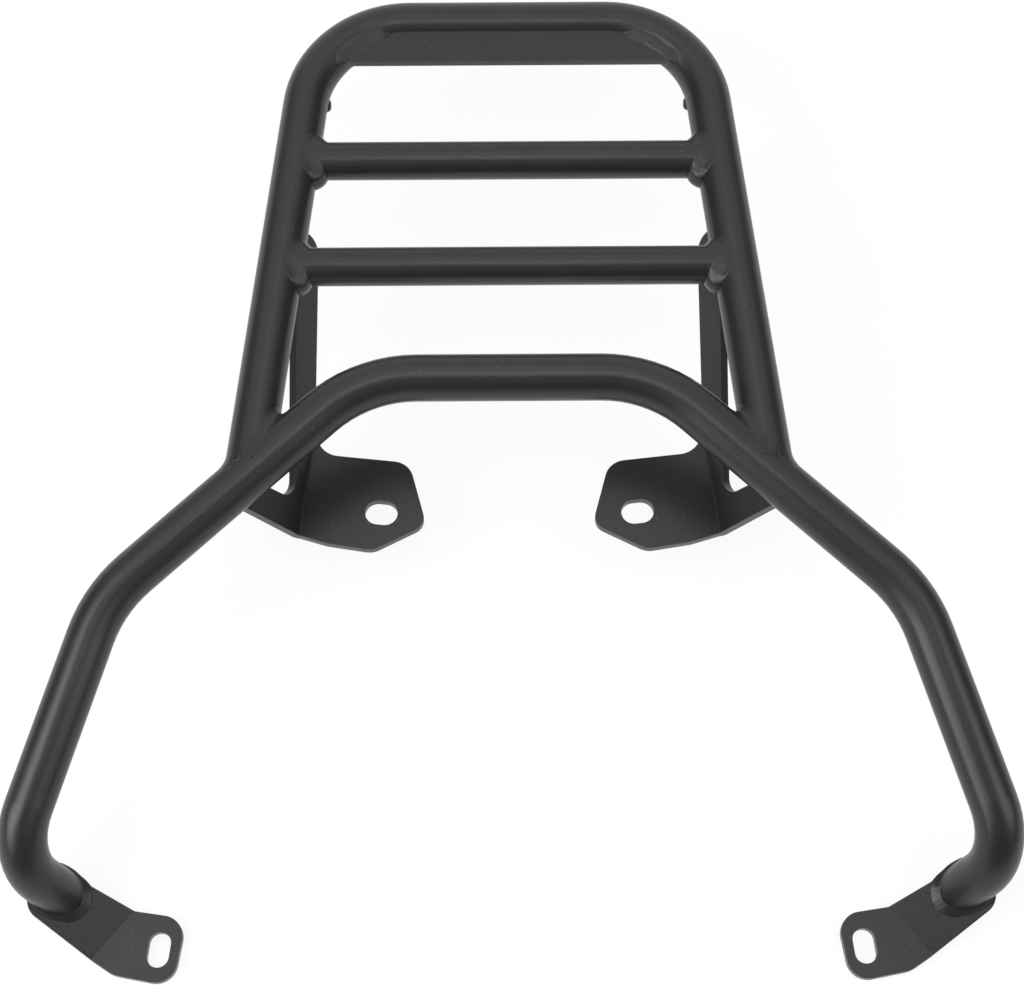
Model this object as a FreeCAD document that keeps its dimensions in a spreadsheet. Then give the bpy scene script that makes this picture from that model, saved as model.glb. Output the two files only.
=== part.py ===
import FreeCAD, Part
import math
import os

from FreeCAD import Placement, Rotation, Vector

# Scooter rear rack: a tube deck with two crossbars, carried by a wide bent hoop, on four slotted tabs.
# Millimetres. X runs across the rack, +Y to its rear, +Z up.
# The origin lies midway between the two rear slots, on the plane that the rear tabs rest on.

SIZES = {
    # Tubes
    "tube_dia": 19.0,
    "tube_wall": 2.0,
    "bar_dia": 16.0,
    "bar_wall": 1.5,
    # Deck, measured at the tube axes
    "deck_height": 42.0,
    "deck_rear": 211.5,
    "corner_half": 81.7,
    "corner_bend": 44.0,
    "leg_splay": 6.1,
    "leg_front": 1.1,
    "rear_bar_y": 144.3,
    "front_bar_y": 94.4,
    # Tail plate between the rear corners
    "tail_thick": 3.0,
    "tail_top": 6.2,
    "tail_front": 188.9,
    "tail_half": 75.0,
    # Strap pegs inside the legs
    "peg_dia": 5.8,
    "peg_y": 174.0,
    "peg_drop": 4.0,
    "peg_reach": 10.4,
    "peg_round": 2.0,
    # Carrier hoop: corner points of its axis
    "hoop_y": 40.1,
    "hoop_rise": 8.0,
    "hoop_fall": 11.0,
    "hoop_half": 59.0,
    "knee_half": 159.7,
    "knee_y": -47.0,
    "elbow_half": 193.2,
    "elbow_y": -145.7,
    "hoop_bend": 58.0,
    "elbow_bend": 26.0,
    # Folded sheets
    "sheet_thick": 4.0,
    # Side brackets
    "bracket_turn": 6.3,
    "bracket_fold": 53.0,
    "bracket_slot_half": 53.0,
    "bracket_slot_long": 13.5,
    "bracket_slot_wide": 10.5,
    # Feet
    "foot_turn": 40.3,
    "foot_fold": 15.0,
    "foot_slot_half": 139.7,
    "foot_slot_y": -174.7,
    "foot_top": -22.0,
    "foot_slot_turn": 33.7,
    "foot_slot_long": 14.0,
    "foot_slot_wide": 8.8,
}

# Outlines in the flat, each corner as (along the fold, away from the fold, corner radius).
BRACKET_FOLD_LONG = 50.0
BRACKET_TAB = [
    (0.0, 0.0, 0.0),
    (-2.3, 12.0, 14.0),
    (-3.3, 31.0, 9.0),
    (10.2, 51.6, 6.0),
    (36.8, 41.3, 9.0),
    (36.8, 3.5, 10.0),
    (BRACKET_FOLD_LONG, 0.0, 0.0),
]
BRACKET_WALL = [
    (0.0, 0.0, 0.0),
    (0.5, 42.0, 0.0),
    (13.0, 42.0, 0.0),
    (13.8, 4.6, 7.5),
    (97.0, 21.7, 8.0),
    (105.0, 38.0, 4.0),
    (130.5, 38.0, 3.0),
    (130.5, 14.5, 8.5),
    (BRACKET_FOLD_LONG, 0.0, 0.0),
]
BRACKET_SLOT_AT = (13.4, 32.5)

FOOT_FOLD_LONG = 25.2
FOOT_TAB = [
    (0.0, 0.0, 0.0),
    (1.3, 10.5, 12.0),
    (13.2, 31.7, 8.5),
    (36.2, 17.8, 8.5),
    (28.1, 4.7, 12.0),
    (FOOT_FOLD_LONG, 0.0, 0.0),
]
FOOT_WALL = [
    (0.0, 0.0, 0.0),
    (-2.6, 36.5, 8.0),
    (17.6, 36.5, 8.0),
    (FOOT_FOLD_LONG, 0.0, 0.0),
]
FOOT_SLOT_AT = (20.2, 17.8)
FOOT_TUBE_AT = (11.0, 28.6)

# The block that trims the hoop at a foot, in tube diameters: its side, and how far it starts before the fold.
TRIM_SIDE = 5.0
TRIM_BEFORE = (1.5, 1.0)

# Share by which a bent tube's volume may differ from its section times its length.
VOLUME_SLACK = 0.002

doc = FreeCAD.newDocument("scooter_rear_rack")
sheet = doc.addObject("Spreadsheet::Sheet", "sizes")
for row, (alias, value) in enumerate(SIZES.items(), start=1):
    sheet.set(f"A{row}", alias)
    sheet.set(f"B{row}", str(value))
    sheet.setAlias(f"B{row}", alias)
doc.recompute()


def size(alias):
    """The value of one driving dimension, read from the sheet."""
    return float(sheet.get(alias))


def rounded_path(points, radii):
    """A wire of straight runs joined by tangent arcs, with a radius at each inner corner."""
    edges = []
    start = points[0]
    for before, corner, after, radius in zip(points, points[1:], points[2:], radii):
        back = (before - corner).normalize()
        onward = (after - corner).normalize()
        half_open = back.getAngle(onward) / 2
        reach = radius / math.tan(half_open)
        bisector = (back + onward).normalize()
        middle = corner + bisector * (radius / math.sin(half_open) - radius)
        enter = corner + back * reach
        leave = corner + onward * reach
        edges.append(Part.LineSegment(start, enter).toShape())
        edges.append(Part.Arc(enter, middle, leave).toShape())
        start = leave
    edges.append(Part.LineSegment(start, points[-1]).toShape())
    return Part.Wire(edges)


def mirrored(points):
    """The points of the right half, from the middle outwards, with their mirror images in front."""
    left = [Vector(-p.x, p.y, p.z) for p in reversed(points)]
    return left + points


def cut(name, base, tool):
    """One solid less another."""
    result = doc.addObject("Part::Cut", name)
    result.Base = base
    result.Tool = tool
    return result


def mirror_image(name, source):
    """The left-hand copy of a right-hand piece."""
    result = doc.addObject("Part::Mirroring", name)
    result.Source = source
    result.Base = Vector(0, 0, 0)
    result.Normal = Vector(1, 0, 0)
    return result


def swept_round(name, path, radius_expression):
    """A solid round bar along a path, its radius bound to the sheet."""
    wire = path.Shape.Wires[0]
    first = wire.OrderedEdges[0]
    section = doc.addObject("Part::Circle", f"{name}_section")
    section.setExpression("Radius", radius_expression)
    heading = first.tangentAt(first.FirstParameter)
    section.Placement = Placement(first.valueAt(first.FirstParameter), Rotation(Vector(0, 0, 1), heading))
    bar = doc.addObject("Part::Sweep", name)
    bar.Sections = [section]
    bar.Spine = (path, [f"Edge{i}" for i in range(1, len(wire.Edges) + 1)])
    bar.Solid = True
    bar.Frenet = False
    return bar


def bent_tube(name, wire):
    """A bent tube along a wire: its full round skin, and the hollow tube."""
    path = doc.addObject("Part::Feature", f"{name}_path")
    path.Shape = wire
    skin = swept_round(f"{name}_skin", path, "sizes.tube_dia / 2")
    bore = swept_round(f"{name}_bore", path, "sizes.tube_dia / 2 - sizes.tube_wall")
    return skin, cut(f"{name}_tube", skin, bore)


def leg_half(y):
    """Distance of a leg's axis from the middle of the rack at a place along it."""
    return size("corner_half") + (size("deck_rear") - y) * math.tan(math.radians(size("leg_splay")))


def loop_wire():
    """Axis of the deck loop: two splayed legs and a straight rear run."""
    deck = size("deck_height")
    front = size("leg_front")
    corner = Vector(size("corner_half"), size("deck_rear"), deck)
    foot = Vector(leg_half(front), front, deck)
    return rounded_path(mirrored([corner, foot]), [size("corner_bend")] * 2)


def foot_placement():
    """Frame of the right foot: its fold runs along local X and its tab lies on local +Y."""
    turn = Rotation(Vector(0, 0, 1), 90 + size("foot_turn"))
    at = Vector(size("foot_slot_half"), size("foot_slot_y"), size("foot_top"))
    return Placement(at - turn.multVec(Vector(*FOOT_SLOT_AT, 0)), turn)


def bracket_placement():
    """Frame of the right side bracket, laid out as the foot's is."""
    turn = Rotation(Vector(0, 0, 1), 90 + size("bracket_turn"))
    at = Vector(size("bracket_slot_half"), 0, size("sheet_thick"))
    return Placement(at - turn.multVec(Vector(*BRACKET_SLOT_AT, 0)), turn)


def wall_placement(fold):
    """Local frame of a folded-up wall: X along the fold, Y up the wall, Z out of its back."""
    return Placement(Vector(0, 0, 0), Rotation(Vector(1, 0, 0), 180 - fold))


def hoop_wire():
    """Axis of the carrier hoop, which falls to the front and turns down and in to the feet."""
    fall = math.tan(math.radians(size("hoop_fall")))
    crown = size("deck_height") + size("hoop_rise")

    def on_hoop(half, y):
        return Vector(half, y, crown - (size("hoop_y") - y) * fall)

    elbow = on_hoop(size("elbow_half"), size("elbow_y"))
    wall = foot_placement().multiply(wall_placement(size("foot_fold")))
    landing = wall.multVec(Vector(*FOOT_TUBE_AT, 0))
    past = landing + (landing - elbow).normalize() * size("tube_dia")
    half = [
        on_hoop(size("hoop_half"), size("hoop_y")),
        on_hoop(size("knee_half"), size("knee_y")),
        elbow,
        past,
    ]
    bend = size("hoop_bend")
    tight = size("elbow_bend")
    return rounded_path(mirrored(half), [tight, bend, bend, bend, bend, tight])


def foot_trim():
    """A block below the right foot's wall, which trims the hoop's end flush with it."""
    block = doc.addObject("Part::Box", "foot_trim")
    for side in ("Length", "Width", "Height"):
        block.setExpression(side, f"sizes.tube_dia * {TRIM_SIDE}")
    before = Vector(*TRIM_BEFORE, 0) * size("tube_dia")
    shift = Placement(-before, Rotation())
    block.Placement = foot_placement().multiply(wall_placement(size("foot_fold"))).multiply(shift)
    return block


def crossbar(name, y_alias, loop_skin):
    """A straight tube across the deck, its ends coped to the loop."""
    half = leg_half(size(y_alias))
    rods = []
    for part, radius in (("outer", "sizes.bar_dia / 2"), ("bore", "sizes.bar_dia / 2 - sizes.bar_wall")):
        rod = doc.addObject("Part::Cylinder", f"{name}_{part}")
        rod.setExpression("Radius", radius)
        rod.Height = 2 * half
        rod.Placement = Placement(Vector(-half, size(y_alias), 0), Rotation(Vector(0, 1, 0), 90))
        rod.setExpression("Placement.Base.y", f"sizes.{y_alias}")
        rod.setExpression("Placement.Base.z", "sizes.deck_height")
        rods.append(rod)
    return cut(name, cut(f"{name}_tube", *rods), loop_skin)


def tail_plate(name, loop_skin):
    """Flat strip let in between the loop's rear corners."""
    strip = doc.addObject("Part::Box", f"{name}_strip")
    strip.setExpression("Length", "2 * sizes.tail_half")
    strip.setExpression("Width", "sizes.deck_rear - sizes.tail_front - sizes.tube_wall * 3")
    strip.setExpression("Height", "sizes.tail_thick")
    strip.setExpression("Placement.Base.x", "-sizes.tail_half")
    strip.setExpression("Placement.Base.y", "sizes.tail_front")
    strip.setExpression("Placement.Base.z", "sizes.deck_height + sizes.tail_top - sizes.tail_thick")
    return cut(name, strip, loop_skin)


def strap_peg(name, loop_skin):
    """Round-ended peg that stands out of the right leg, towards the middle."""
    y = size("peg_y")
    rod = doc.addObject("Part::Cylinder", f"{name}_rod")
    rod.setExpression("Radius", "sizes.peg_dia / 2")
    rod.setExpression("Height", "sizes.peg_reach")
    height = size("deck_height") - size("peg_drop")
    rod.Placement = Placement(Vector(leg_half(y), y, height), Rotation(Vector(0, 1, 0), -90))
    doc.recompute()
    tip = min(range(len(rod.Shape.Edges)), key=lambda i: rod.Shape.Edges[i].CenterOfMass.x)
    rounded = doc.addObject("Part::Fillet", f"{name}_round")
    rounded.Base = rod
    rounded.Edges = [(tip + 1, size("peg_round"), size("peg_round"))]
    return cut(name, rounded, loop_skin)


def origin_plane(body, role):
    """One of a body's own origin planes."""
    return next(f for f in body.Origin.OriginFeatures if f.Role == role)


def outline_edges(outline):
    """Lines and corner arcs of a closed outline."""
    points = [Vector(x, y, 0) for x, y, _ in outline]
    count = len(points)
    ends = []
    arcs = []
    for i, (corner, (_, _, radius)) in enumerate(zip(points, outline)):
        back = (points[i - 1] - corner).normalize()
        onward = (points[(i + 1) % count] - corner).normalize()
        if not radius:
            ends.append((corner, corner))
            continue
        half_open = back.getAngle(onward) / 2
        reach = radius / math.tan(half_open)
        middle = corner + (back + onward).normalize() * (radius / math.sin(half_open) - radius)
        ends.append((corner + back * reach, corner + onward * reach))
        arcs.append(Part.Arc(ends[-1][0], middle, ends[-1][1]))
    lines = [Part.LineSegment(ends[i][1], ends[(i + 1) % count][0]) for i in range(count)]
    return lines + arcs


def slot_edges(at, turn, long, wide):
    """Lines and end arcs of a slot, its length turned from local X."""
    radius = wide / 2
    run = Vector(math.cos(math.radians(turn)), math.sin(math.radians(turn)), 0)
    side = Vector(-run.y, run.x, 0) * radius
    centre = Vector(*at, 0)
    near = centre - run * (long / 2 - radius)
    far = centre + run * (long / 2 - radius)
    return [
        Part.LineSegment(near + side, far + side),
        Part.Arc(far + side, far + run * radius, far - side),
        Part.LineSegment(far - side, near - side),
        Part.Arc(near - side, near - run * radius, near + side),
    ]


def plane_sketch(body, name, role, edges, offset=None):
    """A sketch of these edges on one of the body's origin planes."""
    sketch = body.newObject("Sketcher::SketchObject", name)
    sketch.AttachmentSupport = [(origin_plane(body, role), "")]
    sketch.MapMode = "FlatFace"
    if offset:
        sketch.AttachmentOffset = offset
    for edge in edges:
        sketch.addGeometry(edge)
    return sketch


def sheet_pad(body, name, edges, offset=None):
    """A plate one sheet thick on a sketch, on the side away from the folded corner."""
    sketch = plane_sketch(body, f"{name}_outline", "XY_Plane", edges, offset)
    pad = body.newObject("PartDesign::Pad", name)
    pad.Profile = sketch
    pad.setExpression("Length", "sizes.sheet_thick")
    pad.Reversed = offset is None
    return pad


def folded_sheet(name, tab, slot, wall, fold_long, fold_alias, placement):
    """One folded sheet: a slotted level tab, the bend, and a wall that rises from the fold."""
    body = doc.addObject("PartDesign::Body", name)
    fold = size(fold_alias)
    thick = size("sheet_thick")
    sheet_pad(body, f"{name}_tab", outline_edges(tab) + slot)
    bend_outline = outline_edges([(0, 0, 0), (fold_long, 0, 0), (fold_long, -thick, 0), (0, -thick, 0)])
    bend_sketch = plane_sketch(body, f"{name}_bend_outline", "XZ_Plane", bend_outline)
    bend = body.newObject("PartDesign::Revolution", f"{name}_bend")
    bend.Profile = bend_sketch
    bend.ReferenceAxis = (bend_sketch, ["H_Axis"])
    bend.setExpression("Angle", f"sizes.{fold_alias}")
    bend.Reversed = True
    sheet_pad(body, f"{name}_wall", outline_edges(wall), wall_placement(fold))
    body.Placement = placement
    return body


def right_foot(name):
    """The folded plate that the hoop's right end stands on."""
    slot = slot_edges(FOOT_SLOT_AT, -size("foot_slot_turn"), size("foot_slot_long"), size("foot_slot_wide"))
    return folded_sheet(name, FOOT_TAB, slot, FOOT_WALL, FOOT_FOLD_LONG, "foot_fold", foot_placement())


def right_bracket(name, hoop_skin, loop_skin):
    """The folded bracket under the right leg, its wall trimmed to the hoop and the loop."""
    slot = slot_edges(BRACKET_SLOT_AT, 90, size("bracket_slot_long"), size("bracket_slot_wide"))
    blank = folded_sheet(
        f"{name}_blank", BRACKET_TAB, slot, BRACKET_WALL, BRACKET_FOLD_LONG, "bracket_fold", bracket_placement()
    )
    return cut(name, cut(f"{name}_trimmed", blank, hoop_skin), loop_skin)


def build():
    """All pieces of the rack, by node name."""
    loop_skin, loop_tube = bent_tube("loop", loop_wire())
    hoop_skin, hoop_tube = bent_tube("hoop", hoop_wire())
    trim = foot_trim()
    hoop_right = cut("hoop_right_end", hoop_tube, trim)
    pieces = {
        "carrier_hoop": cut("carrier_hoop", hoop_right, mirror_image("foot_trim_left", trim)),
        "rear_loop": cut("rear_loop", loop_tube, hoop_skin),
        "rear_crossbar": crossbar("rear_crossbar", "rear_bar_y", loop_skin),
        "front_crossbar": crossbar("front_crossbar", "front_bar_y", loop_skin),
        "tail_plate": tail_plate("tail_plate", loop_skin),
        "right_strap_peg": strap_peg("right_strap_peg", loop_skin),
        "right_side_bracket": right_bracket("right_side_bracket", hoop_skin, loop_skin),
        "right_foot_plate": right_foot("right_foot_plate"),
    }
    for right in [n for n in pieces if n.startswith("right_")]:
        left = right.replace("right_", "left_")
        pieces[left] = mirror_image(left, pieces[right])
    for name, piece in pieces.items():
        piece.Label = name
    doc.recompute()
    return pieces


def check(pieces):
    """Stop if any object failed, or if a piece is not one valid solid."""
    for item in doc.Objects:
        if "Invalid" in item.State or "Error" in item.State:
            raise RuntimeError(f"{item.Label} failed: {item.State}")
    for name, piece in pieces.items():
        shape = piece.Shape
        if shape.isNull() or not shape.isValid() or len(shape.Solids) != 1:
            raise RuntimeError(f"{name}: {len(shape.Solids)} solids, valid {shape.isValid()}")
    for tube in ("loop", "hoop"):
        expected = math.pi * (size("tube_dia") / 2) ** 2 * doc.getObject(f"{tube}_path").Shape.Length
        found = doc.getObject(f"{tube}_skin").Shape.Volume
        if abs(found / expected - 1) > VOLUME_SLACK:
            raise RuntimeError(f"{tube}: volume {found:.0f}, section times length {expected:.0f}")


pieces = build()
check(pieces)
os.makedirs("parts", exist_ok=True)
for name, piece in pieces.items():
    piece.Shape.exportStep(f"parts/{name}.step")
    print(f"{name}: {piece.Shape.Volume:.0f} mm3")
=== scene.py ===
import logging
import math
import random
from dataclasses import dataclass
from enum import Enum
from typing import Callable, Protocol, Sequence

import bmesh
import bpy
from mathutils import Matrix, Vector


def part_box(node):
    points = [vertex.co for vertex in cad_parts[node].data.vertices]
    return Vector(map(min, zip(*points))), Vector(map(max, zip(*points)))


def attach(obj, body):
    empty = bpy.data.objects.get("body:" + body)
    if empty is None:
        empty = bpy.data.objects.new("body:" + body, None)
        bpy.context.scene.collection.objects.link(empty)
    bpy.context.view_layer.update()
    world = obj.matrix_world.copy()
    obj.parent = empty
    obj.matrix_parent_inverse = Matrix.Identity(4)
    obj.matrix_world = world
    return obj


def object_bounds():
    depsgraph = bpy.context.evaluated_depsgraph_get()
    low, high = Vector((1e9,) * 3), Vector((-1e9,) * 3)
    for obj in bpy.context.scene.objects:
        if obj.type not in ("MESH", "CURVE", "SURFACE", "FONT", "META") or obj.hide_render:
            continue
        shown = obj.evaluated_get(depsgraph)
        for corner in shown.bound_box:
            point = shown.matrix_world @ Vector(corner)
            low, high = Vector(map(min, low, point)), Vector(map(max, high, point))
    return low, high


# Looks of the scooter rear rack: a satin black coat on the CAD pieces, and the painted welds between them.
# Metres. X runs across the rack, +Y to its rear, +Z up.

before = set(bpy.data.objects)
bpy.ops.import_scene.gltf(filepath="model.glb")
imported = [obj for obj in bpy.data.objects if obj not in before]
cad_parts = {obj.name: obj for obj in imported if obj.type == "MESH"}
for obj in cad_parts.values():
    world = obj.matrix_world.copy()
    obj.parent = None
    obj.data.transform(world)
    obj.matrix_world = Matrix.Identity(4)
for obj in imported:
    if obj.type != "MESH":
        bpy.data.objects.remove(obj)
CAD_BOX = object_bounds()

IMAGE_WIDTH = 1024
UP = Vector((0.0, 0.0, 1.0))

# Welds: waves in a bead's lumps, the share over which they fade where a closed bead meets itself, the share
# of its size that an open bead keeps at its ends, the angles between two skins where a bead starts and is
# full, the gap under which points are merged, and the angle from which an edge stays sharp.
LUMP_WAVES = 3
LUMP_FADE = 0.04
END_SHARE = 0.25
FLUSH = math.radians(10)
CORNERED = math.radians(32)
MERGE_GAP = 1e-7
CREASE = math.radians(40)

# Places of a Mix node's sockets, which go by the same names: first input, second input, output.
COLOUR_SOCKETS = (6, 7, 2)
VECTOR_SOCKETS = (4, 5, 1)

log = logging.getLogger("rear_rack")


class WallFace(Enum):
    """The two faces of a folded wall."""

    INNER = "inner"
    OUTER = "outer"


@dataclass(frozen=True)
class Line:
    """A straight line on one piece's surface that runs towards the piece it is welded to."""

    start: Vector
    heading: Vector
    normal: Vector


class Surface(Protocol):
    """What a weld needs to know of the skin of a piece."""

    def normal_at(self, spot: Vector) -> Vector:
        """Outward normal at a point of the skin."""

    def nearest(self, spot: Vector) -> Vector:
        """The point of the skin nearest to a given point."""

    def meet(self, line: Line) -> Vector:
        """Where a line meets the skin."""


@dataclass(frozen=True)
class Tube:
    """A straight run of round tube."""

    point: Vector
    heading: Vector
    radius: float

    def normal_at(self, spot: Vector) -> Vector:
        """Outward normal of the tube at a point of its skin."""
        reach = spot - self.point
        return (reach - self.heading * reach.dot(self.heading)).normalized()

    def nearest(self, spot: Vector) -> Vector:
        """The point of the skin nearest to a given point."""
        along = self.heading * (spot - self.point).dot(self.heading)
        return self.point + along + self.normal_at(spot) * self.radius

    def lines(self, angles: Sequence[float]) -> list[Line]:
        """Lines along the skin, by their angle about the axis.

        Args:
            angles: radians from the level side, turning upwards.

        Returns:
            One line for each angle.
        """
        side = self.heading.cross(UP).normalized()
        top = side.cross(self.heading).normalized()
        normals = [side * math.cos(a) + top * math.sin(a) for a in angles]
        return [Line(self.point + n * self.radius, self.heading, n) for n in normals]

    def meet(self, line: Line) -> Vector:
        """Where a line first meets the skin.

        Args:
            line: the line, which starts outside the tube.

        Returns:
            The nearer point of the two.
        """
        reach = line.start - self.point
        across = line.heading - self.heading * line.heading.dot(self.heading)
        offset = reach - self.heading * reach.dot(self.heading)
        square = across.length_squared
        half = offset.dot(across)
        rest = max(half * half - square * (offset.length_squared - self.radius ** 2), 0.0)
        return line.start + line.heading * ((-half - math.sqrt(rest)) / square)


@dataclass(frozen=True)
class Plane:
    """A flat face of a sheet."""

    point: Vector
    normal: Vector

    def normal_at(self, spot: Vector) -> Vector:
        """The face's own normal, the same at every point."""
        return self.normal

    def nearest(self, spot: Vector) -> Vector:
        """The point of the face nearest to a given point."""
        return spot - self.normal * (spot - self.point).dot(self.normal)

    def meet(self, line: Line) -> Vector:
        """Where a line meets the face."""
        travel = (self.point - line.start).dot(self.normal) / line.heading.dot(self.normal)
        return line.start + line.heading * travel


@dataclass(frozen=True)
class Bend:
    """A level bend of round tube, met by lines that run out level from its centre."""

    centre: Vector
    bend_radius: float
    tube_radius: float

    def normal_at(self, spot: Vector) -> Vector:
        """Outward normal of the bend at a point of its skin."""
        level = Vector((spot.x - self.centre.x, spot.y - self.centre.y, 0.0)).normalized()
        return (spot - self.centre - level * self.bend_radius).normalized()

    def nearest(self, spot: Vector) -> Vector:
        """The point of the skin nearest to a given point."""
        level = Vector((spot.x - self.centre.x, spot.y - self.centre.y, 0.0)).normalized()
        return self.centre + level * self.bend_radius + self.normal_at(spot) * self.tube_radius

    def meet(self, line: Line) -> Vector:
        """Where a line out from the centre meets the inside of the bend."""
        lift = line.start.z - self.centre.z
        return line.start + line.heading * (self.bend_radius - math.sqrt(self.tube_radius ** 2 - lift ** 2))


@dataclass(frozen=True)
class FoldedWall:
    """The wall that rises from the fold of a sheet, on the right side of the rack.

    Its lines run up the wall, on the face that looks inwards or on the outer one.
    """

    fold_start: Vector
    turn: float
    fold: float
    thickness: float

    def along(self) -> Vector:
        """Direction of the fold line, rearward."""
        return Vector((-math.sin(self.turn), math.cos(self.turn), 0.0))

    def upward(self) -> Vector:
        """Direction up the wall, square to the fold."""
        level = Vector((math.cos(self.turn), math.sin(self.turn), 0.0))
        return level * math.cos(self.fold) + UP * math.sin(self.fold)

    def face(self, which: WallFace) -> Plane:
        """One of the wall's two faces."""
        inward = self.upward().cross(self.along()).normalized()
        if which is WallFace.INNER:
            return Plane(self.fold_start, inward)
        return Plane(self.fold_start - inward * self.thickness, -inward)

    def lines(self, places: Sequence[float], which: WallFace) -> list[Line]:
        """Lines up the wall.

        Args:
            places: distances along the fold.
            which: the face they lie on.

        Returns:
            One line for each place.
        """
        face = self.face(which)
        return [Line(face.point + self.along() * p, self.upward(), face.normal) for p in places]


@dataclass(frozen=True)
class Station:
    """A weld's section at one place: the corner of two skins, and the weld's toes on them."""

    corner: Vector
    first_toe: Vector
    second_toe: Vector
    bulge: float

    def place(self, first: float, second: float) -> Vector:
        """A point of the section, by its shares of the way from the corner to each toe."""
        return self.corner + (self.first_toe - self.corner) * first + (self.second_toe - self.corner) * second


@dataclass(frozen=True)
class WeldBead:
    """A painted weld in the corner between two pieces.

    Its face is a curve from toe to toe: hollow at a bulge of 0, flat at a half and full above that. Its root
    lies inside the two pieces.
    """

    name: str
    lines: Sequence[Line]
    first: Surface
    second: Surface
    leg: Callable[[float], float]
    bulge: Callable[[float], float]
    closed: bool = False
    seed: int = 1
    lumps: float = 0.06
    lump_length: float = 0.005
    toe_lift: float = 0.00003
    root: float = 0.25
    face_points: int = 9

    def stations(self) -> list[Station]:
        """The weld's section at each line, with the slow lumps of a hand-laid bead."""
        draw = random.Random(self.seed)
        phases = [draw.uniform(0, 2 * math.pi) for _ in range(LUMP_WAVES)]
        places = []
        travelled = 0.0
        last = None
        count = len(self.lines)
        for index, line in enumerate(self.lines):
            corner = self.second.meet(line)
            travelled += (corner - last).length if last else 0.0
            last = corner
            share = index / (count - 1)
            fade = rise(min(share, 1 - share), 0.0, LUMP_FADE) if self.closed else 1.0
            turn = math.pi * travelled / self.lump_length
            waves = [math.sin(i * turn + phase) for i, phase in enumerate(phases, start=1)]
            leg = self.leg(share) * (1 + fade * self.lumps * sum(waves) / LUMP_WAVES)
            places.append(self.station(corner, line.normal, leg, self.bulge(share)))
        return places

    def station(self, corner: Vector, first_normal: Vector, leg: float, bulge: float) -> Station:
        """The section at one corner point.

        Args:
            corner: where the two skins meet.
            first_normal: normal of the first skin there.
            leg: how far the weld reaches along each skin; it runs out where the skins are flush.
            bulge: fullness of its face.

        Returns:
            The section, with its toes just off the skins.
        """
        second_normal = self.second.normal_at(corner)
        leg *= rise(first_normal.angle(second_normal), FLUSH, CORNERED)
        shared = first_normal.dot(second_normal)
        along_first = (second_normal - first_normal * shared).normalized()
        along_second = (first_normal - second_normal * shared).normalized()
        first_toe = self.first.nearest(corner + along_first * leg)
        second_toe = self.second.nearest(corner + along_second * leg)
        first_toe += self.first.normal_at(first_toe) * self.toe_lift
        second_toe += self.second.normal_at(second_toe) * self.toe_lift
        return Station(corner, first_toe, second_toe, bulge)

    def section(self, bulge: float) -> list[tuple[float, float]]:
        """The section's outline, from the first toe over the face to the second and back through the root.

        Args:
            bulge: fullness of the face.

        Returns:
            Shares of the way to each toe; the last point is the first again.
        """
        shares = steps(0, 1, self.face_points)
        crown = [2 * s * (1 - s) * bulge for s in shares]
        face = [((1 - s) ** 2 + c, s ** 2 + c) for s, c in zip(shares, crown)]
        root = [(-self.root, 1.0), (-self.root, -self.root), (1.0, -self.root)]
        return face + root + face[:1]

    def build(self) -> bpy.types.Object:
        """Wrap a grid round the section and along the joint, and close it."""
        stations = self.stations()
        outlines = [self.section(s.bulge) for s in stations]
        across = len(outlines[0]) - 1
        along = len(stations) - 1
        mesh = bmesh.new()
        bmesh.ops.create_grid(mesh, x_segments=across, y_segments=along, size=1.0)
        for vert in mesh.verts:
            point = round((vert.co.x + 1) / 2 * across)
            index = round((vert.co.y + 1) / 2 * along)
            vert.co = stations[index].place(*outlines[index][point])
        bmesh.ops.remove_doubles(mesh, verts=mesh.verts, dist=MERGE_GAP)
        bmesh.ops.holes_fill(mesh, edges=[e for e in mesh.edges if e.is_boundary], sides=0)
        bmesh.ops.recalc_face_normals(mesh, faces=mesh.faces)
        for face in mesh.faces:
            face.smooth = True
        for edge in mesh.edges:
            edge.smooth = edge.calc_face_angle(0.0) < CREASE
        data = bpy.data.meshes.new(self.name)
        mesh.to_mesh(data)
        mesh.free()
        piece = bpy.data.objects.new(self.name, data)
        bpy.context.scene.collection.objects.link(piece)
        return piece


def steps(start: float, stop: float, count: int) -> list[float]:
    """Evenly spaced values.

    Args:
        start: the first value.
        stop: the last value.
        count: how many values.

    Returns:
        The values in order.
    """
    return [start + (stop - start) * i / (count - 1) for i in range(count)]


def rise(value: float, low: float, high: float) -> float:
    """A smooth step from 0 at low to 1 at high.

    Args:
        value: where it is read.
        low: where the step starts.
        high: where it ends.

    Returns:
        The share, from 0 to 1.
    """
    share = min(max((value - low) / (high - low), 0.0), 1.0)
    return share * share * (3 - 2 * share)


def tapered(full: float, taper: float = 0.12) -> Callable[[float], float]:
    """The size of an open bead that thins out at both ends.

    Args:
        full: the weld's reach along each surface.
        taper: share of the bead that each end takes to reach it.

    Returns:
        A function of the share along the bead.
    """
    return lambda share: full * (END_SHARE + (1 - END_SHARE) * rise(min(share, 1 - share), 0.0, taper))


def mirror_piece(piece: bpy.types.Object, name: str) -> bpy.types.Object:
    """The left-hand copy of a right-hand piece.

    Args:
        piece: the right-hand piece.
        name: the copy's name.

    Returns:
        The copy, with its faces turned outwards again.
    """
    mesh = bmesh.new()
    mesh.from_mesh(piece.data)
    bmesh.ops.scale(mesh, vec=(-1, 1, 1), verts=mesh.verts)
    bmesh.ops.reverse_faces(mesh, faces=mesh.faces)
    data = bpy.data.meshes.new(name)
    mesh.to_mesh(data)
    mesh.free()
    copy = bpy.data.objects.new(name, data)
    bpy.context.scene.collection.objects.link(copy)
    return copy


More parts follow.
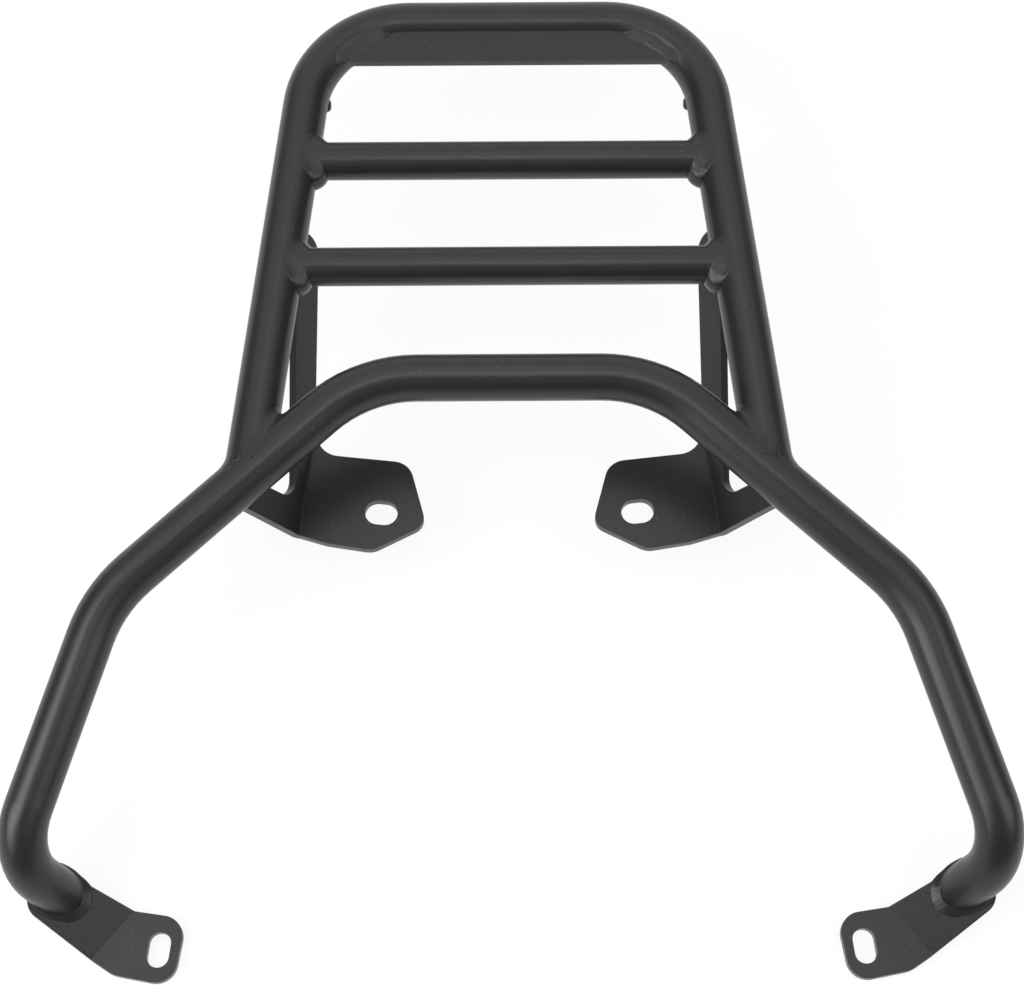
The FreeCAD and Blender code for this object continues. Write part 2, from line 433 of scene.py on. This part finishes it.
class PaintGroups:
    """Shader node groups that the coats share."""

    peel_detail: float = 2.0
    film_detail: float = 3.0
    grain_detail: float = 1.0
    grain_fineness: float = 3.1
    grain_share: float = 0.35
    arris_samples: int = 6
    hollow_samples: int = 4
    hollow_reach: float = 3.0
    open_level: float = 0.93
    patch_scale: float = 420.0
    patch_detail: float = 2.0
    # Gain of the painted highlight along convex edges.
    edge_highlight_gain: float = 4.0
    speck_size: float = 0.085
    speck_rarity: float = 0.8

    def __init__(self) -> None:
        """Build each group once."""
        self.grain = self.powder_grain()
        self.edges = self.sheet_edges()
        self.dust = self.dust_specks()

    @staticmethod
    def new_group(name: str, inputs: dict[str, str],
                  outputs: dict[str, str]) -> tuple[bpy.types.NodeTree, bpy.types.Node, bpy.types.Node]:
        """An empty shader group with its sockets.

        Args:
            name: the group's name.
            inputs: socket types by name.
            outputs: socket types by name.

        Returns:
            The tree, its input node and its output node.
        """
        tree = bpy.data.node_groups.new(name, "ShaderNodeTree")
        for label, kind in inputs.items():
            tree.interface.new_socket(label, in_out="INPUT", socket_type=kind)
        for label, kind in outputs.items():
            tree.interface.new_socket(label, in_out="OUTPUT", socket_type=kind)
        return tree, tree.nodes.new("NodeGroupInput"), tree.nodes.new("NodeGroupOutput")

    @staticmethod
    def math_node(tree: bpy.types.NodeTree, operation: str,
                  *values: float | bpy.types.NodeSocket) -> bpy.types.NodeSocket:
        """A Math node.

        Args:
            tree: the tree it goes in.
            operation: what it does.
            values: numbers, or sockets to link.

        Returns:
            Its output.
        """
        node = tree.nodes.new("ShaderNodeMath")
        node.operation = operation
        for socket, value in zip(node.inputs, values):
            if isinstance(value, bpy.types.NodeSocket):
                tree.links.new(value, socket)
            else:
                socket.default_value = value
        return node.outputs[0]

    @staticmethod
    def noise(tree: bpy.types.NodeTree, place: bpy.types.NodeSocket, scale: float | bpy.types.NodeSocket,
              detail: float) -> bpy.types.NodeSocket:
        """A Noise Texture.

        Args:
            tree: the tree it goes in.
            place: the coordinates.
            scale: cells per metre, as a number or a socket.
            detail: octaves.

        Returns:
            Its value.
        """
        node = tree.nodes.new("ShaderNodeTexNoise")
        node.inputs["Detail"].default_value = detail
        tree.links.new(place, node.inputs["Vector"])
        if isinstance(scale, bpy.types.NodeSocket):
            tree.links.new(scale, node.inputs["Scale"])
        else:
            node.inputs["Scale"].default_value = scale
        return node.outputs["Fac"]

    def powder_grain(self) -> bpy.types.NodeTree:
        """Fine orange-peel of a baked powder coat, and its slow changes of film thickness."""
        tree, given, out = self.new_group(
            "powder_grain",
            {"Place": "NodeSocketVector", "Peel Scale": "NodeSocketFloat", "Film Scale": "NodeSocketFloat"},
            {"Height": "NodeSocketFloat", "Film": "NodeSocketFloat"},
        )
        place = given.outputs["Place"]
        peel = self.noise(tree, place, given.outputs["Peel Scale"], self.peel_detail)
        film = self.noise(tree, place, given.outputs["Film Scale"], self.film_detail)
        fine = self.math_node(tree, "MULTIPLY", given.outputs["Peel Scale"], self.grain_fineness)
        grain = self.noise(tree, place, fine, self.grain_detail)
        height = self.math_node(tree, "MULTIPLY_ADD", grain, self.grain_share, peel)
        tree.links.new(height, out.inputs["Height"])
        tree.links.new(film, out.inputs["Film"])
        return tree

    def sheet_edges(self) -> bpy.types.NodeTree:
        """The thin rounded arris of a cut edge, with a painted highlight along it in patches, and the hollow
        of a fold.
        """
        tree, given, out = self.new_group(
            "sheet_edges",
            {"Place": "NodeSocketVector", "Arris": "NodeSocketFloat", "Amount": "NodeSocketFloat"},
            {"Mask": "NodeSocketFloat", "Hollow": "NodeSocketFloat", "Normal": "NodeSocketVector"},
        )
        arris = tree.nodes.new("ShaderNodeBevel")
        arris.samples = self.arris_samples
        tree.links.new(given.outputs["Arris"], arris.inputs["Radius"])
        flat = tree.nodes.new("ShaderNodeNewGeometry")
        same = tree.nodes.new("ShaderNodeVectorMath")
        same.operation = "DOT_PRODUCT"
        tree.links.new(arris.outputs["Normal"], same.inputs[0])
        tree.links.new(flat.outputs["Normal"], same.inputs[1])
        turn = self.math_node(tree, "SUBTRACT", 1.0, same.outputs["Value"])
        hollow = tree.nodes.new("ShaderNodeAmbientOcclusion")
        hollow.samples = self.hollow_samples
        hollow.only_local = True
        reach = self.math_node(tree, "MULTIPLY", given.outputs["Arris"], self.hollow_reach)
        tree.links.new(reach, hollow.inputs["Distance"])
        open_side = self.math_node(tree, "GREATER_THAN", hollow.outputs["AO"], self.open_level)
        patchy = self.noise(tree, given.outputs["Place"], self.patch_scale, self.patch_detail)
        # Painted highlight: a mask along convex arrises, in patches, kept out of the hollows of folds.
        sharp = self.math_node(tree, "MULTIPLY", turn, self.edge_highlight_gain)
        painted_edge_highlight = self.math_node(tree, "MULTIPLY", sharp, patchy)
        outer = self.math_node(tree, "MULTIPLY", painted_edge_highlight, open_side)
        amount = self.math_node(tree, "MULTIPLY", outer, given.outputs["Amount"])
        limit = self.math_node(tree, "MINIMUM", amount, 1.0)
        tree.links.new(limit, out.inputs["Mask"])
        tree.links.new(self.math_node(tree, "SUBTRACT", 1.0, open_side), out.inputs["Hollow"])
        rounded = tree.nodes.new("ShaderNodeMix")
        rounded.data_type = "VECTOR"
        first, second, result = VECTOR_SOCKETS
        tree.links.new(open_side, rounded.inputs["Factor"])
        tree.links.new(flat.outputs["Normal"], rounded.inputs[first])
        tree.links.new(arris.outputs["Normal"], rounded.inputs[second])
        tree.links.new(rounded.outputs[result], out.inputs["Normal"])
        return tree

    def dust_specks(self) -> bpy.types.NodeTree:
        """A few pale specks of dust, mostly on upward faces."""
        tree, given, out = self.new_group(
            "dust_specks",
            {"Place": "NodeSocketVector", "Spacing": "NodeSocketFloat", "Amount": "NodeSocketFloat"},
            {"Mask": "NodeSocketFloat"},
        )
        cells = tree.nodes.new("ShaderNodeTexVoronoi")
        tree.links.new(given.outputs["Place"], cells.inputs["Vector"])
        tree.links.new(given.outputs["Spacing"], cells.inputs["Scale"])
        near = self.math_node(tree, "LESS_THAN", cells.outputs["Distance"], self.speck_size)
        split = tree.nodes.new("ShaderNodeSeparateColor")
        tree.links.new(cells.outputs["Color"], split.inputs["Color"])
        rare = self.math_node(tree, "GREATER_THAN", split.outputs["Red"], self.speck_rarity)
        facing = tree.nodes.new("ShaderNodeNewGeometry")
        lift = tree.nodes.new("ShaderNodeSeparateXYZ")
        tree.links.new(facing.outputs["Normal"], lift.inputs[0])
        upward = self.math_node(tree, "MAXIMUM", lift.outputs["Z"], 0.0)
        chosen = self.math_node(tree, "MULTIPLY", near, rare)
        speck = self.math_node(tree, "MULTIPLY", chosen, upward)
        tree.links.new(self.math_node(tree, "MULTIPLY", speck, given.outputs["Amount"]), out.inputs["Mask"])
        return tree


@dataclass(frozen=True)
class PowderCoat:
    """A satin black powder coat, with a painted highlight along its sheet edges."""

    name: str
    dark: tuple[float, float, float] = (0.0075, 0.0075, 0.0079)
    light: tuple[float, float, float] = (0.0115, 0.0115, 0.012)
    # Pale grey of the painted highlight along sheet edges, and of the dust specks.
    edge_highlight_and_dust: tuple[float, float, float] = (0.14, 0.14, 0.145)
    specular: float = 0.5
    roughness: float = 0.33
    roughness_spread: float = 0.08
    fold_roughness: float = 0.8
    peel_scale: float = 900.0
    film_scale: float = 45.0
    peel_depth: float = 0.00004
    arris: float = 0.0006
    # Strength of the painted highlight along sheet edges.
    edge_highlight_amount: float = 0.8
    dust_spacing: float = 260.0
    dust_amount: float = 0.35

    def build(self, groups: PaintGroups) -> bpy.types.Material:
        """The coat's material.

        Args:
            groups: the shared shader groups.

        Returns:
            A material that reads Object coordinates.
        """
        material = bpy.data.materials.new(self.name)
        material.use_nodes = True
        tree = material.node_tree
        shader = tree.nodes["Principled BSDF"]
        shader.inputs["Specular IOR Level"].default_value = self.specular
        place = tree.nodes.new("ShaderNodeTexCoord").outputs["Object"]
        scales = {"Peel Scale": self.peel_scale, "Film Scale": self.film_scale}
        grain = self.placed(tree, groups.grain, place, scales)
        edge_highlight_inputs = {"Arris": self.arris, "Amount": self.edge_highlight_amount}
        edges = self.placed(tree, groups.edges, place, edge_highlight_inputs)
        specks = {"Spacing": self.dust_spacing, "Amount": self.dust_amount}
        dust = self.placed(tree, groups.dust, place, specks)
        coat = self.mixed(tree, grain.outputs["Film"], self.dark, self.light)
        # Painted highlight: pale grey along the convex sheet edges, where light would catch them.
        painted_edge_highlight = self.mixed(tree, edges.outputs["Mask"], coat, self.edge_highlight_and_dust)
        dusty = self.mixed(tree, dust.outputs["Mask"], painted_edge_highlight, self.edge_highlight_and_dust)
        tree.links.new(dusty, shader.inputs["Base Color"])
        spread = tree.nodes.new("ShaderNodeMapRange")
        spread.inputs["To Min"].default_value = self.roughness - self.roughness_spread / 2
        spread.inputs["To Max"].default_value = self.roughness + self.roughness_spread / 2
        tree.links.new(grain.outputs["Film"], spread.inputs["Value"])
        dull = PaintGroups.math_node(tree, "MULTIPLY", edges.outputs["Hollow"], self.fold_roughness)
        rough = PaintGroups.math_node(tree, "MAXIMUM", spread.outputs["Result"], dull)
        tree.links.new(rough, shader.inputs["Roughness"])
        bump = tree.nodes.new("ShaderNodeBump")
        bump.inputs["Distance"].default_value = self.peel_depth
        tree.links.new(grain.outputs["Height"], bump.inputs["Height"])
        tree.links.new(edges.outputs["Normal"], bump.inputs["Normal"])
        tree.links.new(bump.outputs["Normal"], shader.inputs["Normal"])
        return material

    @staticmethod
    def placed(tree: bpy.types.NodeTree, group: bpy.types.NodeTree, place: bpy.types.NodeSocket,
               values: dict[str, float]) -> bpy.types.Node:
        """A shared group set into the material.

        Args:
            tree: the material's tree.
            group: the shared group.
            place: the coordinates.
            values: the group's inputs by name.

        Returns:
            The group's node.
        """
        node = tree.nodes.new("ShaderNodeGroup")
        node.node_tree = group
        tree.links.new(place, node.inputs["Place"])
        for label, value in values.items():
            node.inputs[label].default_value = value
        return node

    @staticmethod
    def mixed(tree: bpy.types.NodeTree, mask: bpy.types.NodeSocket,
              *colours: tuple[float, float, float] | bpy.types.NodeSocket) -> bpy.types.NodeSocket:
        """Two colours mixed by a mask.

        Args:
            tree: the material's tree.
            mask: the share of the second colour.
            colours: each a tuple, or a socket to link.

        Returns:
            The mixed colour.
        """
        node = tree.nodes.new("ShaderNodeMix")
        node.data_type = "RGBA"
        tree.links.new(mask, node.inputs["Factor"])
        first, second, result = COLOUR_SOCKETS
        for socket, colour in zip((node.inputs[first], node.inputs[second]), colours):
            if isinstance(colour, bpy.types.NodeSocket):
                tree.links.new(colour, socket)
            else:
                socket.default_value = (*colour, 1.0)
        return node.outputs[result]


@dataclass(frozen=True)
class Deck:
    """The tube deck: its loop, the two crossbars, the tail plate, and the welds that hold them."""

    corner_half: float = 0.0817
    corner_bend: float = 0.044
    leg_splay: float = math.radians(6.1)
    front_weld: float = 0.0047
    rear_weld: float = 0.0034
    top_weld: float = 0.0044
    front_bulge: float = 0.78
    rear_bulge: float = 0.35
    top_bulge: float = 0.12
    top_reach: tuple[float, float] = (0.35, 0.85)
    tail_weld: float = 0.0026
    tail_bulge: float = 0.56
    tail_weld_from: float = math.radians(34)
    tail_weld_to: float = math.radians(77)
    stations: int = 161

    def tube_radius(self) -> float:
        """Radius of the loop's tube, from its box."""
        low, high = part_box("rear_loop")
        return (high.z - low.z) / 2

    def corner(self) -> Vector:
        """The point where the axes of the rear run and the right leg cross."""
        low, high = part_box("rear_loop")
        return Vector((self.corner_half, high.y - self.tube_radius(), (high.z + low.z) / 2))

    def right_leg(self) -> Tube:
        """The loop's straight right leg, towards its front."""
        heading = Vector((math.sin(self.leg_splay), -math.cos(self.leg_splay), 0))
        return Tube(self.corner(), heading, self.tube_radius())

    def right_bend(self) -> Bend:
        """The loop's rear right corner."""
        half_open = (math.pi / 2 + self.leg_splay) / 2
        back = Vector((self.corner_bend / math.tan(half_open), self.corner_bend, 0))
        return Bend(self.corner() - back, self.corner_bend, self.tube_radius())

    def bar(self, node: str) -> Tube:
        """A crossbar, seen from the middle towards its right end.

        Args:
            node: the crossbar's CAD node.

        Returns:
            Its outer tube.
        """
        low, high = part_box(node)
        middle = (low + high) / 2
        return Tube(Vector((0, middle.y, middle.z)), Vector((1, 0, 0)), (high.z - low.z) / 2)

    def round_bar(self, share: float, front: float, top: float, rear: float) -> float:
        """A value that changes round a crossbar, and that is the same below as in front.

        Args:
            share: share of the round, from the front over the top.
            front: the value in front and below.
            top: the value on top.
            rear: the value at the rear.

        Returns:
            The value at that share.
        """
        turn = 2 * math.pi * share
        side = rear + (front - rear) * (1 + math.cos(turn)) / 2
        return side + (top - side) * rise(math.sin(turn), *self.top_reach)

    def bar_weld(self, node: str, seed: int) -> WeldBead:
        """The weld at a crossbar's right end: smooth on top, full in front.

        Args:
            node: the crossbar's CAD node.
            seed: seed of its lumps.

        Returns:
            The bead.
        """
        bar = self.bar(node)
        return WeldBead(
            f"{node}_weld", bar.lines(steps(0, 2 * math.pi, self.stations)), bar, self.right_leg(),
            lambda share: self.round_bar(share, self.front_weld, self.top_weld, self.rear_weld),
            lambda share: self.round_bar(share, self.front_bulge, self.top_bulge, self.rear_bulge),
            closed=True, seed=seed)

    def tail_plate_weld(self) -> WeldBead:
        """The low weld at the right end of the tail plate."""
        bend = self.right_bend()
        face = Plane(Vector((bend.centre.x, bend.centre.y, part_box("tail_plate")[1].z)), UP)
        angles = steps(self.tail_weld_from, self.tail_weld_to, self.stations)
        lines = [Line(face.point, Vector((math.cos(a), math.sin(a), 0)), UP) for a in angles]
        return WeldBead("tail_plate_weld", lines, face, bend, tapered(self.tail_weld),
                        lambda share: self.tail_bulge, seed=7, lumps=0.1, lump_length=0.012, toe_lift=0.00015)

    def build(self) -> list[WeldBead]:
        """Weld beads at the right ends of the crossbars and of the tail plate."""
        bars = enumerate(("rear_crossbar", "front_crossbar"), start=3)
        return [self.bar_weld(node, seed) for seed, node in bars] + [self.tail_plate_weld()]


@dataclass(frozen=True)
class Carrier:
    """The wide hoop with its brackets and feet, and the welds that join them to each other and the deck."""

    deck: Deck = Deck()
    hoop_half: float = 0.059
    hoop_y: float = 0.0401
    hoop_fall: float = math.radians(11)
    knee_half: float = 0.1597
    knee_y: float = -0.047
    elbow_half: float = 0.1932
    elbow_y: float = -0.1457
    sheet: float = 0.004
    bracket_fold_start: tuple[float, float, float] = (0.08678, -0.00976, 0.004)
    bracket_turn: float = math.radians(6.3)
    bracket_fold: float = math.radians(53)
    strap_weld: tuple[float, float] = (0.106, 0.129)
    upright_weld: tuple[float, float] = (0.0012, 0.0126)
    foot_fold_start: tuple[float, float, float] = (0.16634, -0.17859, -0.022)
    foot_turn: float = math.radians(40.3)
    foot_fold: float = math.radians(15)
    foot_tube_at: tuple[float, float] = (0.0110, 0.0286)
    deck_weld: float = 0.0032
    web_weld: float = 0.0062
    web_reach: tuple[float, float] = (0.6, 1.0)
    deck_bulge: float = 0.15
    foot_weld: float = 0.0016
    foot_inner_weld: float = 0.0009
    foot_outer_reach: tuple[float, float] = (0.2, 0.8)
    run_out_weld: float = 0.0024
    run_out_bulge: float = 0.4
    run_out_reach: tuple[float, float] = (0.35, 0.95)
    bead_bulge: float = 0.6
    bracket_weld: float = 0.0026
    stations: int = 161

    def on_hoop(self, half: float, y: float) -> Vector:
        """A point of the hoop's falling plane.

        Args:
            half: distance from the middle.
            y: place along the rack.

        Returns:
            The point on the axis.
        """
        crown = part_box("carrier_hoop")[1].z - self.deck.tube_radius()
        return Vector((half, y, crown - (self.hoop_y - y) * math.tan(self.hoop_fall)))

    def right_arm(self) -> Tube:
        """The straight run of the hoop from its crown to the knee."""
        start = self.on_hoop(self.hoop_half, self.hoop_y)
        heading = (self.on_hoop(self.knee_half, self.knee_y) - start).normalized()
        return Tube(start, heading, self.deck.tube_radius())

    def right_bracket(self) -> FoldedWall:
        """The side bracket's wall."""
        return FoldedWall(Vector(self.bracket_fold_start), self.bracket_turn, self.bracket_fold, self.sheet)

    def right_foot(self) -> FoldedWall:
        """The foot's wall."""
        return FoldedWall(Vector(self.foot_fold_start), self.foot_turn, self.foot_fold, self.sheet)

    def right_end(self) -> Tube:
        """The hoop's end, from the elbow to the foot."""
        elbow = self.on_hoop(self.elbow_half, self.elbow_y)
        wall = self.right_foot()
        along, up = self.foot_tube_at
        landing = wall.fold_start + wall.along() * along + wall.upward() * up
        return Tube(elbow, (landing - elbow).normalized(), self.deck.tube_radius())

    def deck_leg(self, share: float) -> float:
        """Weld size round a deck leg: a web in its sharp inner corner with the hoop, less elsewhere."""
        inward = math.cos(2 * math.pi * share)
        return self.deck_weld + (self.web_weld - self.deck_weld) * rise(inward, *self.web_reach)

    def foot_leg(self, share: float) -> float:
        """Weld size round a hoop end.

        It is least on the inside, along the sheet's edge, and most where the tube's top runs out on the foot.

        Args:
            share: share of the round, from the inside over the top.

        Returns:
            The weld's reach along each skin.
        """
        outward = (1 - math.cos(2 * math.pi * share)) / 2
        gain = self.foot_weld - self.foot_inner_weld
        leg = self.foot_inner_weld + gain * rise(outward, *self.foot_outer_reach)
        return leg + (self.run_out_weld - leg) * self.run_out(share)

    def run_out(self, share: float) -> float:
        """How far a place round a hoop end is the one where the tube's top runs out on the foot."""
        return rise(math.sin(2 * math.pi * share), *self.run_out_reach)

    def foot_bulge(self, share: float) -> float:
        """Fullness of the weld round a hoop end: a smooth ramp where the tube runs out."""
        return self.bead_bulge + (self.run_out_bulge - self.bead_bulge) * self.run_out(share)

    def leg_to_hoop_weld(self) -> WeldBead:
        """The smooth weld between the deck's right leg and the hoop."""
        leg = self.deck.right_leg()
        lines = leg.lines(steps(0, 2 * math.pi, self.stations))
        return WeldBead("leg_to_hoop_weld", lines, leg, self.right_arm(), self.deck_leg,
                        lambda share: self.deck_bulge, closed=True, seed=11)

    def hoop_to_foot_weld(self) -> WeldBead:
        """The weld between the hoop's right end and its foot."""
        end = self.right_end()
        wall = self.right_foot().face(WallFace.INNER)
        lines = end.lines(steps(0, 2 * math.pi, self.stations))
        return WeldBead("hoop_to_foot_weld", lines, end, wall, self.foot_leg, self.foot_bulge,
                        closed=True, seed=12, lumps=0.08, lump_length=0.007)

    def bracket_welds(self, which: WallFace) -> list[WeldBead]:
        """Welds of the right bracket on one face of its wall.

        Args:
            which: the face.

        Returns:
            The bead along its strap under the leg, and the one on its upright under the hoop.
        """
        wall = self.right_bracket()
        strap = ("strap", self.strap_weld, self.deck.right_leg())
        upright = ("upright", self.upright_weld, self.right_arm())
        beads = []
        for end, reach, tube in (strap, upright):
            lines = wall.lines(steps(*reach, self.stations), which)
            name = f"{which.value}_{end}_weld"
            beads.append(WeldBead(name, lines, wall.face(which), tube, tapered(self.bracket_weld),
                                  lambda share: self.bead_bulge, seed=13, lumps=0.12))
        return beads

    def build(self) -> list[WeldBead]:
        """Weld beads of the right side."""
        brackets = [bead for which in WallFace for bead in self.bracket_welds(which)]
        return [self.leg_to_hoop_weld(), self.hoop_to_foot_weld()] + brackets


@dataclass(frozen=True)
class SoftBox:
    """A soft box over the rack, by its bearing from the rear towards the right and its height."""

    name: str
    bearing: float
    height: float
    radiance: float
    wide: float
    tall: float

    def build(self, reach: float) -> None:
        """Hang the lamp at a distance and turn it to the rack.

        Args:
            reach: its distance.
        """
        data = bpy.data.lights.new(self.name, "AREA")
        data.shape = "RECTANGLE"
        data.size = self.wide
        data.size_y = self.tall
        data.energy = self.radiance * math.pi * self.wide * self.tall
        level = math.cos(self.height)
        away = Vector((level * math.sin(self.bearing), level * math.cos(self.bearing), math.sin(self.height)))
        lamp = bpy.data.objects.new(self.name, data)
        lamp.location = away * reach
        lamp.rotation_euler = (-away).to_track_quat("-Z", "Y").to_euler()
        bpy.context.scene.collection.objects.link(lamp)


@dataclass(frozen=True)
class DarkPart:
    """A cone of the room that gives little light, by its direction and the angles of its edge and core."""

    toward: tuple[float, float, float]
    start: float
    full: float

    def build(self, tree: bpy.types.NodeTree, place: bpy.types.NodeSocket,
              light: float) -> bpy.types.NodeSocket:
        """The room's brightness by direction.

        Args:
            tree: the world's node tree.
            place: the direction.
            light: what is left in the full dark.

        Returns:
            The brightness, 1 outside the cone.
        """
        near = tree.nodes.new("ShaderNodeVectorMath")
        near.operation = "DOT_PRODUCT"
        near.inputs[1].default_value = Vector(self.toward).normalized()
        tree.links.new(place, near.inputs[0])
        fade = tree.nodes.new("ShaderNodeMapRange")
        fade.interpolation_type = "SMOOTHSTEP"
        fade.inputs["From Min"].default_value = math.cos(self.start)
        fade.inputs["From Max"].default_value = math.cos(self.full)
        fade.inputs["To Min"].default_value = 1.0
        fade.inputs["To Max"].default_value = light
        tree.links.new(near.outputs["Value"], fade.inputs["Value"])
        return fade.outputs["Result"]


@dataclass(frozen=True)
class Studio:
    """White floor and surround, soft boxes, and the camera of the photograph."""

    camera_at: tuple[float, float, float] = (0.0011, -0.3274, 0.8533)
    camera_tilt: float = math.radians(21.5)
    camera_roll: float = math.radians(0.33)
    focal_pixels: float = 2200.0
    sensor: float = 36.0
    floor_gap: float = 0.0004
    floor_half: float = 4.0
    paper: float = 0.9
    paper_roughness: float = 0.9
    surround: float = 0.75
    dark_light: float = 0.2
    shade_share: float = 0.12
    box_reach: float = 1.2

    def camera(self) -> None:
        """The camera, tilted back from straight down."""
        data = bpy.data.cameras.new("camera")
        data.sensor_fit = "HORIZONTAL"
        data.sensor_width = self.sensor
        data.lens = self.focal_pixels / IMAGE_WIDTH * self.sensor
        camera = bpy.data.objects.new("camera", data)
        camera.location = self.camera_at
        camera.rotation_euler = (self.camera_tilt, 0, 0)
        camera.rotation_euler.rotate_axis("Z", -self.camera_roll)
        bpy.context.scene.collection.objects.link(camera)
        bpy.context.scene.camera = camera

    @staticmethod
    def seen(tree: bpy.types.NodeTree) -> bpy.types.NodeSocket:
        """A mask of the rays that show the background: camera, glossy and transmission rays.

        Args:
            tree: the floor's or the world's node tree.

        Returns:
            The mask.
        """
        path = tree.nodes.new("ShaderNodeLightPath")
        gloss = PaintGroups.math_node(
            tree, "MAXIMUM", path.outputs["Is Glossy Ray"], path.outputs["Is Transmission Ray"])
        return PaintGroups.math_node(tree, "MAXIMUM", path.outputs["Is Camera Ray"], gloss)

    def room_part(self, tree: bpy.types.NodeTree) -> bpy.types.NodeSocket:
        """Brightness of the room by direction: white, but for its dark parts.

        Args:
            tree: the world's node tree.

        Returns:
            The brightness, 1 for camera rays.
        """
        place = tree.nodes.new("ShaderNodeTexCoord").outputs["Generated"]
        first, *others = [part.build(tree, place, self.dark_light) for part in self.dark_parts()]
        lit = first
        for part in others:
            lit = PaintGroups.math_node(tree, "MINIMUM", lit, part)
        direct = tree.nodes.new("ShaderNodeLightPath").outputs["Is Camera Ray"]
        return PaintGroups.math_node(tree, "MAXIMUM", direct, lit)

    def world(self) -> None:
        """A white surround that lights the rack at a plain level."""
        world = bpy.data.worlds.new("surround")
        bpy.context.scene.world = world
        world.use_nodes = True
        tree = world.node_tree
        lamp = tree.nodes["Background"]
        lamp.inputs["Strength"].default_value = self.surround
        white = tree.nodes.new("ShaderNodeBackground")
        tree.links.new(self.room_part(tree), white.inputs["Strength"])
        mix = tree.nodes.new("ShaderNodeMixShader")
        tree.links.new(self.seen(tree), mix.inputs["Fac"])
        for socket, shader in zip(mix.inputs[1:], (lamp, white)):
            shader.inputs["Color"].default_value = (1, 1, 1, 1)
            tree.links.new(shader.outputs[0], socket)
        tree.links.new(mix.outputs[0], tree.nodes["World Output"].inputs["Surface"])

    def floor(self) -> None:
        """A plain white floor just under the feet, which keeps a light shadow."""
        mesh = bmesh.new()
        bmesh.ops.create_grid(mesh, x_segments=1, y_segments=1, size=self.floor_half)
        bmesh.ops.translate(mesh, vec=(0, 0, CAD_BOX[0][2] - self.floor_gap), verts=mesh.verts)
        data = bpy.data.meshes.new("floor")
        mesh.to_mesh(data)
        mesh.free()
        floor = bpy.data.objects.new("floor", data)
        bpy.context.scene.collection.objects.link(floor)
        material = bpy.data.materials.new("floor_white")
        material.use_nodes = True
        tree = material.node_tree
        paper = tree.nodes["Principled BSDF"]
        paper.inputs["Base Color"].default_value = (self.paper, self.paper, self.paper, 1)
        paper.inputs["Roughness"].default_value = self.paper_roughness
        glow = tree.nodes.new("ShaderNodeEmission")
        mix = tree.nodes.new("ShaderNodeMixShader")
        share = PaintGroups.math_node(tree, "MULTIPLY", self.seen(tree), 1 - self.shade_share)
        tree.links.new(share, mix.inputs["Fac"])
        tree.links.new(paper.outputs[0], mix.inputs[1])
        tree.links.new(glow.outputs[0], mix.inputs[2])
        tree.links.new(mix.outputs[0], tree.nodes["Material Output"].inputs["Surface"])
        data.materials.append(material)

    @staticmethod
    def dark_parts() -> tuple[DarkPart, ...]:
        """The room is dark low in front, low at both sides, and round the camera."""
        return (
            DarkPart((0.0, -1.0, 0.0), math.radians(72), math.radians(32)),
            DarkPart((1.0, 0.0, 0.0), math.radians(63), math.radians(32)),
            DarkPart((-1.0, 0.0, 0.0), math.radians(63), math.radians(32)),
            DarkPart((0.0, -0.32, 0.95), math.radians(29), math.radians(15)),
        )

    @staticmethod
    def boxes() -> tuple[SoftBox, ...]:
        """A tall key on the left, a low box before it, weaker ones on the right and behind, one overhead."""
        return (
            SoftBox("key_box", math.radians(252), math.radians(41), 4.3, 0.6, 1.0),
            SoftBox("fill_box", math.radians(108), math.radians(41), 1.7, 0.6, 1.0),
            SoftBox("top_box", math.radians(180), math.radians(87), 3.9, 0.34, 0.34),
            SoftBox("rear_box", 0.0, math.radians(67), 0.8, 0.5, 0.26),
            SoftBox("low_box", math.radians(232), math.radians(24), 2.0, 0.5, 0.5),
        )

    def build(self) -> None:
        """Set the stage."""
        bpy.context.scene.view_settings.view_transform = "Standard"
        self.camera()
        self.world()
        self.floor()
        for box in self.boxes():
            box.build(self.box_reach)


def dress(piece: bpy.types.Object, material: bpy.types.Material) -> None:
    """Give a piece one finish all over.

    Args:
        piece: a CAD node or a new piece.
        material: the finish.
    """
    piece.data.materials.clear()
    piece.data.materials.append(material)


def add_piece(piece: bpy.types.Object, material: bpy.types.Material) -> None:
    """Dress a new piece and fix it to the rack.

    Args:
        piece: the piece, in its place.
        material: its finish.
    """
    dress(piece, material)
    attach(piece, "root")
    log.info("%s: %d faces", piece.name, len(piece.data.polygons))


def main() -> None:
    """Dress the CAD pieces, lay the welds and set the stage."""
    logging.basicConfig(level=logging.INFO, format="%(message)s")
    groups = PaintGroups()
    coat = PowderCoat("satin_black").build(groups)
    # The welds get no painted edge highlight.
    weld_coat = PowderCoat("weld_black", peel_depth=0.00012, edge_highlight_amount=0.0).build(groups)
    for name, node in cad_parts.items():
        dress(node, coat)
        log.info("%s: dressed", name)
    for bead in Deck().build() + Carrier().build():
        right = bead.build()
        left = mirror_piece(right, f"left_{bead.name}")
        right.name = f"right_{bead.name}"
        add_piece(right, weld_coat)
        add_piece(left, weld_coat)
    Studio().build()


if __name__ == "__main__":
    main()
